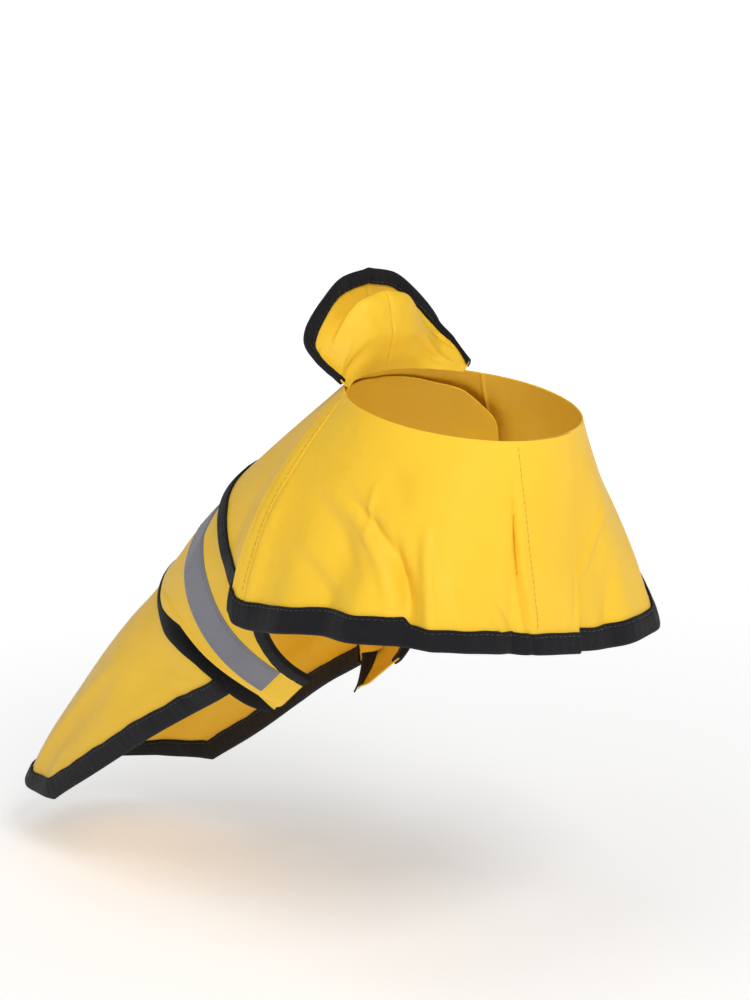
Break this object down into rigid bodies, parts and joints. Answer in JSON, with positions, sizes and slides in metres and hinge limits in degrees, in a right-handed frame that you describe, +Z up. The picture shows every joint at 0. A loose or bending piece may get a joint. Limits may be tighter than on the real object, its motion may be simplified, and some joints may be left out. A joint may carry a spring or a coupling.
{
  "type": "dog raincoat",
  "caption": "Hooded dog raincoat held in its worn form: short overlapping cape with shoulder seams, saddle with a reflective band, long tail flap and dark bound edges.",
  "frame": {"origin": "centre of the neck ring, where the wearer's neck holds the garment up", "axes": "+X to the wearer's front, +Y to the wearer's left, +Z up"},
  "size_m": [0.4194, 0.1928, 0.3191],
  "materials": {
    "coated_cloth": "yellow woven polyester with a soft satin rainproof coating",
    "binding_tape": "black ribbed polyester binding, folded round the edges and stitched",
    "reflective_tape": "grey retroreflective tape, matt in plain light"
  },
  "bodies": {
    "root": {"cape_front_right": "coated_cloth", "cape_front_left": "coated_cloth", "cape_yoke": "coated_cloth", "cape_hem_binding": "binding_tape", "saddle": "coated_cloth", "reflective_tape": "reflective_tape", "saddle_rear_binding": "binding_tape", "saddle_side_binding_right": "binding_tape", "saddle_side_binding_left": "binding_tape", "tail_flap": "coated_cloth", "tail_hem_binding": "binding_tape", "hood_right": "coated_cloth", "hood_left": "coated_cloth", "hood_rim_binding": "binding_tape"}
  },
  "joints": []
}
